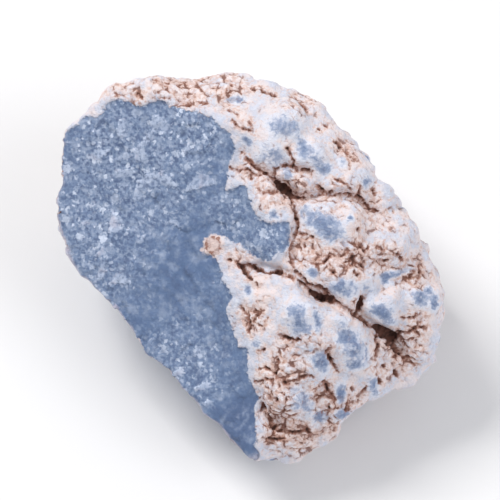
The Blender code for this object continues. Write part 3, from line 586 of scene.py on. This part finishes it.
class Tree:
    """Adds nodes to a geometry or a shader tree, and joins them."""

    def __init__(self, tree):
        self.tree = tree
        self.carves = tree.bl_idname == "GeometryNodeTree"
        # The place on the stone before its fine relief, in millimetres.
        self.place = self.stored("rest", "FLOAT_VECTOR", "Vector")

    def node(self, kind, settings=None, **inputs):
        """A node with these settings, and these values or links on its inputs."""
        made = self.tree.nodes.new(kind)
        for name, value in (settings or {}).items():
            setattr(made, name, value)
        for name, value in inputs.items():
            self.feed(made.inputs[name.replace("_", " ")], value)
        return made

    def feed(self, socket, value):
        """Links a socket to a value's socket, or sets it."""
        if isinstance(value, bpy.types.NodeSocket):
            self.tree.links.new(value, socket)
        else:
            socket.default_value = value

    def stored(self, name, kind, output):
        """A value stored on the stone."""
        if self.carves:
            made = self.node("GeometryNodeInputNamedAttribute", {"data_type": kind}, Name=name)
            return made.outputs[0]
        return self.node("ShaderNodeAttribute", {"attribute_name": name}).outputs[output]

    def field(self, name):
        """A number stored on the stone."""
        return self.stored(name, "FLOAT", "Fac")

    def math(self, operation, *values):
        """A sum or other calculation on one to three numbers, clamped where the name ends in !."""
        made = self.tree.nodes.new("ShaderNodeMath")
        made.operation = operation.rstrip("!")
        made.use_clamp = operation.endswith("!")
        for socket, value in zip(made.inputs, values):
            self.feed(socket, value)
        return made.outputs[0]

    def less(self, value, other):
        """The first number less the second."""
        return self.math("SUBTRACT", value, other)

    def plus(self, value, other):
        """The sum of two numbers."""
        return self.math("ADD", value, other)

    def times(self, value, *others):
        """The product of two numbers or more."""
        for other in others:
            value = self.math("MULTIPLY", value, other)
        return value

    def line(self, value, slope, start):
        """The value times the slope, plus the start."""
        return self.math("MULTIPLY_ADD", value, slope, start)

    def clamped(self, value, slope, start):
        """The same, kept from 0 to 1."""
        return self.math("MULTIPLY_ADD!", value, slope, start)

    def vector(self, operation, *values, scale=None):
        """A calculation on vectors."""
        made = self.tree.nodes.new("ShaderNodeVectorMath")
        made.operation = operation
        for socket, value in zip(made.inputs, values):
            self.feed(socket, value)
        if scale is not None:
            self.feed(made.inputs["Scale"], scale)
        return made.outputs["Value" if operation == "DOT_PRODUCT" else "Vector"]

    def ramp(self, value, low, high, at_low=0.0, at_high=1.0):
        """Goes smoothly from at_low to at_high as the value goes from low to high."""
        made = self.node(
            "ShaderNodeMapRange",
            {"interpolation_type": "SMOOTHSTEP"},
            Value=value, From_Min=low, From_Max=high, To_Min=at_low, To_Max=at_high,
        )
        return made.outputs[0]

    def blots(self, place, size, detail, seed):
        """A noise node that reads the place, moved off by the seed."""
        moved = self.vector("ADD", place, (seed, -seed, 0.5 * seed))
        return self.node("ShaderNodeTexNoise", Vector=moved, Scale=1.0 / size, Detail=detail)

    def noise(self, name):
        """One of NOISES, soft, from 0 to 1."""
        return self.blots(self.place, *NOISES[name]).outputs[0]

    def swing(self, name, reach):
        """One of NOISES, from this much less than 0 to this much more."""
        return self.line(self.noise(name), 2.0 * reach, -reach)

    def wander(self, place, name):
        """The place, moved about by one of BENDS, so that a pattern read there bends."""
        size, reach, seed = BENDS[name]
        made = self.blots(place, size, BEND_DETAIL, seed)
        shift = self.vector("SUBTRACT", made.outputs["Color"], HALVES)
        return self.vector("ADD", place, self.vector("SCALE", shift, scale=2.0 * reach))

    def cells(self, place, size, feature="F1"):
        """A pattern of cells of this size."""
        return self.node("ShaderNodeTexVoronoi", {"feature": feature}, Vector=place, Scale=1.0 / size)

    def cell_edge(self, place, size):
        """The distance to the nearest edge between two cells, in millimetres."""
        return self.times(self.cells(place, size, "DISTANCE_TO_EDGE").outputs["Distance"], size)

    def facets(self, place, size):
        """A height that slopes each cell its own way, as broken grains lie."""
        cell = self.cells(place, size)
        away = self.vector("SUBTRACT", place, cell.outputs["Position"])
        slope = self.vector("SUBTRACT", cell.outputs["Color"], HALVES)
        return self.vector("DOT_PRODUCT", away, slope)

    def shade_of(self, cell):
        """A number from 0 to 1 for each whole cell of a pattern."""
        return self.node("ShaderNodeSeparateXYZ", Vector=cell.outputs["Color"]).outputs[0]

    def blend(self, share, low, high):
        """One number turning into another."""
        made = self.node("ShaderNodeMix", {"data_type": "FLOAT"})
        self.feed(made.inputs[0], share)
        self.feed(made.inputs[2], low)
        self.feed(made.inputs[3], high)
        return made.outputs[0]

    def paint(self, share, under, over):
        """A colour laid over another one."""
        made = self.node("ShaderNodeMix", {"data_type": "RGBA"})
        self.feed(made.inputs[0], share)
        for socket, value in ((made.inputs[6], under), (made.inputs[7], over)):
            self.feed(socket, (*value, 1.0) if isinstance(value, tuple) else value)
        return made.outputs[2]

    def layers(self, body, value, rows, strength=1.0):
        """Colours laid over a body one after another, by where a value lies."""
        for low, high, share, colour in rows:
            laid = self.times(self.ramp(value, low, high, 0.0, share), strength)
            body = self.paint(laid, body, colour)
        return body


def stone_zones(tree):
    """Which skin each point has, with ragged borders between them."""
    ragged = tree.plus(tree.swing("border", 0.8), tree.swing("border_fine", 0.4))
    inside = tree.plus(tree.field("fresh"), ragged)
    fresh = tree.ramp(inside, *FRESH_EDGE)
    broken = tree.ramp(tree.plus(tree.field("broken"), tree.swing("torn", 0.25)), *BROKEN_EDGE)
    bare = tree.math("MAXIMUM", fresh, broken)
    return {"inside": inside, "fresh": fresh, "broken": broken, "bare": bare}


def rind_cracks(tree):
    """How far outside the rind's cracks a point is, and how finely cracked the rind is there."""
    drawn = tree.field("drawn")
    patchy = tree.times(tree.ramp(tree.noise("crackled"), *CRACKLED), tree.line(drawn, DRAWN_LESS, 1.0))
    # Rust patches, with painted shade in part at the lower end, and cracked patches of noise.
    crackle = tree.math("ADD!", tree.field("rust_and_shade"), patchy)

    bent = tree.wander(tree.wander(tree.place, "crack"), "crack_fine")
    edge = tree.cell_edge(bent, CRACK_CELL)
    width = tree.line(tree.noise("crack_width"), *CRACK_WIDTH)
    width = tree.times(width, tree.line(crackle, *CRACK_BY_CRACKLE))
    scattered = tree.plus(tree.less(edge, width), drawn)

    along = tree.vector("DOT_PRODUCT", bent, CELLS_LIE_ALONG)
    drawn_out = tree.vector("SCALE", CELLS_LIE_ALONG, scale=tree.times(along, CELL_STRETCH))
    web = tree.cell_edge(tree.vector("SUBTRACT", bent, drawn_out), FINE_CRACK_CELL)
    fine_width = tree.line(tree.noise("fine_width"), *FINE_WIDTH)
    fine_width = tree.line(crackle, FINE_BY_CRACKLE, fine_width)

    knot = tree.line(web, KNOT_OFF_CRACK, tree.ramp(tree.noise("knot"), *KNOT))
    knot = tree.plus(knot, tree.line(crackle, *KNOT_BY_CRACKLE))
    gap = tree.math("MINIMUM", tree.math("MINIMUM", tree.field("crevice"), scattered), knot)
    gap = tree.plus(gap, tree.line(tree.noise("crack_edge"), *CRACK_EDGE))
    return {"gap": gap, "fine": tree.less(web, fine_width), "web": web, "edge": edge, "crackle": crackle}


def fresh_grains(tree):
    """The sugary texture of the breaks, how strong it is, and its single bright grains, which are pale
    grains and in part painted glints.
    """
    bent = tree.wander(tree.place, "grain")
    chipped = tree.swing("chip", 0.5)
    sparks = []
    for size, rarest, full in SPARKS:
        cell = tree.cells(bent, size)
        spark = tree.ramp(tree.plus(cell.outputs["Distance"], chipped), *SPARK_EDGE)
        sparks.append(tree.times(spark, tree.ramp(tree.shade_of(cell), rarest, full)))
    small = tree.shade_of(tree.cells(bent, SUGAR_CELL))
    sugar = tree.line(tree.noise("sugar"), *SUGAR_BY_NOISE)
    sugar = tree.line(tree.less(small, 0.5), SUGAR_BY_CELL, sugar)
    strength = tree.clamped(tree.field("sugary"), *SUGAR_SHOWS)
    return {"strength": strength, "sugar": sugar, "spark": tree.math("MAXIMUM", *sparks)}


def flake_share(tree):
    """How much of the skin is pale flake, which has a ragged border."""
    ragged = tree.line(tree.noise("flake_edge"), 1.6, -0.7)
    return tree.ramp(tree.plus(tree.field("flake"), ragged), *FLAKE_EDGE)


def rind_height(tree):
    """How far the rind stands out: domes, lumps, cobbles and grit, with the cracks cut in."""
    cracks = rind_cracks(tree)
    dome = tree.ramp(cracks["edge"], *DOME_SLOPE, -1.0, 1.0)
    height = tree.times(dome, tree.blend(tree.field("drawn"), HIDDEN_RISE, DRAWN_RISE))
    height = tree.plus(height, tree.swing("lump", LUMP_RISE))
    cobbles = tree.times(tree.ramp(cracks["web"], *COBBLE_SLOPE), tree.line(cracks["crackle"], 0.6, 0.4))
    height = tree.line(cobbles, COBBLE_RISE, height)
    height = tree.plus(height, tree.swing("grit", RIND_GRIT))
    height = tree.line(tree.ramp(cracks["gap"], *CREVICE_WALL), -CREVICE_CUT, height)
    return tree.line(tree.ramp(cracks["fine"], *FINE_CRACK_WALL), -FINE_CRACK_CUT, height)


def bare_height(tree, broken):
    """How far the breaks stand out: facets, grains and flakes, a step below the rind."""
    height = tree.times(tree.facets(tree.wander(tree.place, "facet"), FACET_CELL), FACET_TILT)
    sugar = tree.times(tree.facets(tree.place, GRAIN_CELL), GRAIN_TILT)
    height = tree.line(sugar, tree.line(tree.field("sugary"), *SUGAR_STANDS), height)
    flake = tree.times(flake_share(tree), tree.field("raised"))
    height = tree.line(flake, FLAKE_RISE, height)
    height = tree.times(height, tree.blend(broken, 1.0, LOWER_ROUGHER))
    return tree.less(height, STEP_DEPTH)


def carve(stone):
    """Cuts the cracks, grains and flakes into the skin."""
    group = bpy.data.node_groups.new("stone_relief", "GeometryNodeTree")
    group.interface.new_socket("Geometry", in_out="INPUT", socket_type="NodeSocketGeometry")
    group.interface.new_socket("Geometry", in_out="OUTPUT", socket_type="NodeSocketGeometry")
    tree = Tree(group)
    zones = stone_zones(tree)
    height = tree.blend(zones["bare"], rind_height(tree), bare_height(tree, zones["broken"]))
    along = tree.vector(
        "SCALE",
        tree.node("GeometryNodeInputNormal").outputs[0],
        scale=tree.times(height, MM),
    )
    moved = tree.node(
        "GeometryNodeSetPosition",
        Geometry=tree.node("NodeGroupInput").outputs[0],
        Offset=along,
    )
    group.links.new(moved.outputs[0], tree.node("NodeGroupOutput").inputs[0])
    relief = stone.modifiers.new("relief", "NODES")
    relief.node_group = group
    bpy.ops.object.modifier_apply(modifier=relief.name)


def use_only(obj):
    """Selects this object alone."""
    bpy.ops.object.select_all(action="DESELECT")
    obj.select_set(True)
    bpy.context.view_layer.objects.active = obj


def apply_modifier(obj, kind, **settings):
    """Adds a modifier and applies it."""
    modifier = obj.modifiers.new(kind.lower(), kind)
    for name, value in settings.items():
        setattr(modifier, name, value)
    bpy.ops.object.modifier_apply(modifier=modifier.name)


def settle_base(stone):
    """Presses the base back onto the surface that the stone lies on."""
    points = vectors_of(stone.data.vertices, "co")
    points[:, 2] = np.maximum(points[:, 2], 0.0)
    stone.data.vertices.foreach_set("co", points.astype(np.float32).ravel())
    stone.data.update()


def model_stone(solid):
    """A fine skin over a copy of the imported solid."""
    use_only(solid)
    bpy.ops.object.duplicate()
    stone = bpy.context.active_object
    stone.name = "angelite_stone"
    bpy.ops.object.mode_set(mode="EDIT")
    bpy.ops.mesh.select_all(action="SELECT")
    bpy.ops.mesh.remove_doubles(threshold=WELD)
    bpy.ops.object.mode_set(mode="OBJECT")
    apply_modifier(stone, "SUBSURF", levels=1, render_levels=1)
    apply_modifier(stone, "REMESH", mode="VOXEL", voxel_size=SKIN_VOXEL)
    apply_modifier(stone, "SMOOTH", factor=SMOOTHING, iterations=EVEN_STEPS)
    measure(stone)
    carve(stone)
    stone.data.calc_loop_triangles()
    ratio = TRIANGLES / len(stone.data.loop_triangles)
    apply_modifier(stone, "DECIMATE", ratio=ratio, use_collapse_triangulate=True)
    settle_base(stone)
    bpy.ops.object.shade_smooth()
    return stone


# Colours of the stone, laid one over another.


def fresh_colour(tree):
    """Blue anhydrite: a cloudy body, whitened where its grains are crushed, with painted glints in part on
    its single bright grains, and painted shade at the bottom tip.
    """
    grains = fresh_grains(tree)
    strength, sugar = grains["strength"], grains["sugar"]
    cloud, veil = tree.noise("blue_cloud"), tree.noise("blue_veil")
    dull = tree.line(tree.less(cloud, 0.5), 0.8, tree.field("sugary"))
    body = tree.paint(tree.clamped(dull, 0.667, 0.333), SMOOTH, SUGARY_GREY)
    # Darkest blue where the face is smoothest; at the bottom tip this is painted shade.
    body = tree.paint(tree.ramp(dull, -0.1, -0.7, 0.0, 0.6), body, DARK_BLUE)
    body = tree.layers(body, veil, VEIL_LAYERS)
    body = tree.layers(body, sugar, SUGAR_LAYERS, strength)
    crowded = tree.ramp(tree.line(cloud, 0.4, veil), 0.55, 0.8, 0.4, 1.0)
    # Single bright grains in near white: pale grains, and in part painted glints.
    body = tree.paint(tree.times(grains["spark"], strength, crowded), body, PALE_GRAIN_AND_GLINT)

    flake = tree.times(flake_share(tree), tree.line(tree.field("raised"), 0.7, 0.22))
    flake = tree.times(flake, tree.ramp(sugar, 0.25, 0.65, 0.4, 1.0))
    flake_shade = tree.paint(tree.ramp(veil, 0.52, 0.7, 0.0, 0.6), FLAKE_GREY, PINK_GREY)
    body = tree.paint(flake, body, flake_shade)
    lip = tree.times(tree.field("lip"), tree.ramp(tree.noise("lip"), 0.3, 0.55, 0.2, 0.7))
    return tree.paint(lip, body, PINK_GREY)


def old_break_colour(tree, fresh):
    """The hidden breaks: older, duller and stained."""
    stain = tree.ramp(tree.noise("old_stain"), 0.45, 0.7)
    speck = tree.ramp(tree.noise("old_speck"), 0.5, 0.68)
    stained = tree.paint(tree.times(stain, 0.55), fresh, PEACH)
    return tree.paint(tree.times(stain, speck, 0.6), stained, ORANGE)


def chalk_colour(tree, rind):
    """Chalk white, cooler in blotches, and stained peach and rust around the cracks, with painted
    highlights on the middles of its small domed cells and white specks that are in part painted glints.
    """
    near_fresh, crackle = rind["near_fresh"], rind["crackle"]
    cool = tree.line(near_fresh, 0.1, tree.line(rind["speckle"], 0.25, rind["blotch"]))
    body = tree.paint(tree.ramp(cool, 0.5, 0.78), CHALK, COOL_WHITE)

    stain = tree.line(crackle, 0.45, tree.line(tree.noise("rind_cloud"), 1.4, -0.66))
    stain = tree.plus(stain, tree.line(rind["blotch"], -1.2, 0.6))
    stain = tree.line(rind["halo"], 0.8, tree.math("MAXIMUM", stain, 0.0))
    stain = tree.times(stain, tree.line(near_fresh, -0.6, 1.0))
    body = tree.paint(tree.ramp(stain, 0.0, 0.9, 0.0, 0.85), body, PEACH)

    # Painted highlight: the middles of the small domed cells are whitened.
    middles = tree.times(tree.ramp(rind["web"], 0.25, 0.6), tree.line(crackle, 0.6, 0.1))
    middles = tree.times(middles, tree.ramp(rind["speckle"], 0.66, 0.5))
    body = tree.paint(middles, body, MILK_HIGHLIGHT)
    rusted = tree.clamped(crackle, 0.9, tree.times(rind["halo"], 0.3))
    # White specks, in part painted glints, and rust specks, where the rind is rusty.
    return tree.layers(body, tree.noise("crumb_and_glint"), CRUMB_AND_GLINT_LAYERS, rusted)


def window_field(tree, rind):
    """How far the rind is worn through to the blue under it."""
    hidden = tree.ramp(tree.noise("hidden_window"), 0.52, 0.72, 0.0, 0.9)
    hidden = tree.times(hidden, tree.less(1.0, tree.field("drawn")))
    window = tree.math("MAXIMUM", tree.field("window"), hidden)
    window = tree.plus(window, tree.line(rind["speckle"], 0.7, -0.34))
    return tree.plus(window, tree.line(rind["blotch"], 1.0, -0.5))


def with_windows(tree, window, body):
    """Blue windows with a white rim, a deeper middle, and pale grains and veins in them."""
    body = tree.layers(body, window, WINDOW_LAYERS)
    grain = tree.ramp(tree.noise("window_grain"), 0.46, 0.66, 0.0, 0.7)
    body = tree.paint(tree.times(grain, tree.ramp(window, 0.4, 0.6)), body, PALE_BLUE)
    veins = tree.ramp(tree.noise("window_vein"), 0.5, 0.68, 0.0, 0.6)
    return tree.paint(tree.times(veins, tree.ramp(window, 0.3, 0.5)), body, RIM_WHITE)


def with_cracks(tree, rind, window, body):
    """Dirt and fine cracks, fainter in the windows, and deep cracks with a rusty edge."""
    crackle, gap, fine = rind["crackle"], rind["gap"], rind["fine"]
    worn = tree.line(tree.ramp(window, 0.25, 0.5), -0.85, 1.0)
    dirt = tree.line(crackle, 0.12, rind["speckle"])
    dirt = tree.line(rind["halo"], 0.16, dirt)
    dirt = tree.line(tree.field("hollow"), 0.12, dirt)
    dirt = tree.line(rind["near_fresh"], -0.08, dirt)
    body = tree.paint(tree.times(tree.ramp(dirt, 0.62, 0.8, 0.0, 0.5), worn), body, ORANGE)

    stained = tree.times(tree.ramp(fine, 0.28, 0.0), tree.line(crackle, 0.4, 0.15), worn)
    body = tree.paint(stained, body, ORANGE)
    core = tree.times(tree.ramp(fine, 0.05, -0.1), tree.line(crackle, 0.45, 0.5), worn)
    body = tree.paint(core, body, CRACK_RED)

    body = tree.paint(tree.ramp(gap, 0.34, 0.04, 0.0, 0.75), body, RUST)
    depths = tree.paint(tree.ramp(rind["speckle"], 0.42, 0.6), CRACK_BROWN, CRACK_RED)
    depths = tree.paint(tree.ramp(gap, 0.05, -0.2), RUST, depths)
    return tree.paint(tree.ramp(gap, 0.1, -0.08), body, depths)


def rind_colour(tree, zones):
    """Chalk white, peach and rust, with blue windows and brown cracks."""
    rind = rind_cracks(tree)
    rind["speckle"] = tree.noise("speckle")
    rind["blotch"] = tree.noise("blotch")
    rind["near_fresh"] = tree.ramp(zones["inside"], -2.2, -0.5)
    halo = tree.ramp(rind["gap"], 1.8, 0.2)
    rind["halo"] = tree.times(halo, tree.ramp(rind["speckle"], 0.3, 0.62))
    window = window_field(tree, rind)
    return with_cracks(tree, rind, window, with_windows(tree, window, chalk_colour(tree, rind)))


def with_peg(tree, under):
    """The small round spot at the tip of the notch: peach, ringed with rust."""
    peg = tree.plus(tree.field("peg"), tree.swing("peg_edge", 0.9))
    body = tree.paint(tree.ramp(peg, 1.7, 1.3, 0.0, 0.8), under, PEACH)
    patchy = tree.ramp(tree.noise("peg_ring"), 0.36, 0.56, 0.3, 0.95)
    body = tree.paint(tree.times(tree.ramp(peg, 1.3, 1.0), patchy), body, RUST)
    return tree.paint(tree.ramp(peg, 0.85, 0.5, 0.0, 0.85), body, PEACH)


def stone_colour(tree, zones):
    """The colour of every skin of the stone."""
    fresh = fresh_colour(tree)
    old = tree.times(zones["broken"], tree.less(1.0, zones["fresh"]))
    bare = tree.paint(old, fresh, old_break_colour(tree, fresh))
    return with_peg(tree, tree.paint(zones["bare"], rind_colour(tree, zones), bare))


def paint_stone(stone):
    """The stone's one material."""
    material = bpy.data.materials.new("angelite_and_rind")
    material.use_nodes = True
    tree = Tree(material.node_tree)
    shader = material.node_tree.nodes["Principled BSDF"]
    zones = stone_zones(tree)
    tree.feed(shader.inputs["Base Color"], stone_colour(tree, zones))

    shine = tree.ramp(tree.noise("shine"), 0.35, 0.65, *BREAK_ROUGHNESS)
    tree.feed(shader.inputs["Roughness"], tree.blend(zones["bare"], RIND_ROUGHNESS, shine))
    tooth = tree.times(tree.noise("tooth"), RIND_TOOTH)
    grains = tree.times(tree.facets(tree.place, SUGAR_CELL), BREAK_TOOTH)
    fine = tree.blend(zones["bare"], tooth, grains)
    bump = tree.node("ShaderNodeBump", Height=fine, Distance=MM, Strength=BUMP_STRENGTH)
    tree.feed(shader.inputs["Normal"], bump.outputs[0])
    shader.inputs["Subsurface Weight"].default_value = GLOW_WEIGHT
    shader.inputs["Subsurface Radius"].default_value = GLOW_RADII
    shader.inputs["Subsurface Scale"].default_value = GLOW_DEPTH
    stone.data.materials.clear()
    stone.data.materials.append(material)


# Floor, light and camera.


def lay_floor():
    """A plain pale floor."""
    bpy.ops.mesh.primitive_plane_add(size=FLOOR_SIZE, location=(0.0, 0.0, 0.0))
    floor = bpy.context.active_object
    floor.name = "floor"
    material = bpy.data.materials.new("pale_floor")
    material.use_nodes = True
    shader = material.node_tree.nodes["Principled BSDF"]
    shader.inputs["Base Color"].default_value = FLOOR_COLOUR
    shader.inputs["Roughness"].default_value = FLOOR_ROUGHNESS
    floor.data.materials.append(material)


def aim(obj, target):
    """Turns a light or a camera towards a point."""
    obj.rotation_euler = (target - obj.location).to_track_quat("-Z", "Y").to_euler()


def add_lights(target):
    """The square studio lights, turned to the stone."""
    for name, place, size, watts, colour in LIGHTS:
        bpy.ops.object.light_add(type="AREA", location=place)
        light = bpy.context.active_object
        light.name = name
        light.data.size = size
        light.data.energy = watts
        light.data.color = colour
        aim(light, target)


def add_sky():
    """An even pale light from all round."""
    world = bpy.data.worlds.new("studio")
    world.use_nodes = True
    background = world.node_tree.nodes["Background"]
    background.inputs["Color"].default_value = SKY_COLOUR
    background.inputs["Strength"].default_value = SKY_STRENGTH
    bpy.context.scene.world = world
    bpy.context.scene.view_settings.view_transform = "Standard"


def place_camera(target):
    """Looks down on the stone as the photograph does."""
    bpy.ops.object.camera_add()
    camera = bpy.context.active_object
    back = Vector((0.0, -math.cos(ELEVATION), math.sin(ELEVATION)))
    camera.location = target + back * CAMERA_DISTANCE
    aim(camera, target)
    camera.data.lens = LENS
    camera.data.sensor_width = SENSOR_WIDTH
    bpy.context.scene.camera = camera


def main():
    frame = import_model()
    stone = model_stone(frame["nodes"]["angelite"])
    paint_stone(stone)
    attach(stone, "root")
    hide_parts("angelite")
    lay_floor()
    add_lights(TARGET)
    add_sky()
    place_camera(TARGET)


main()
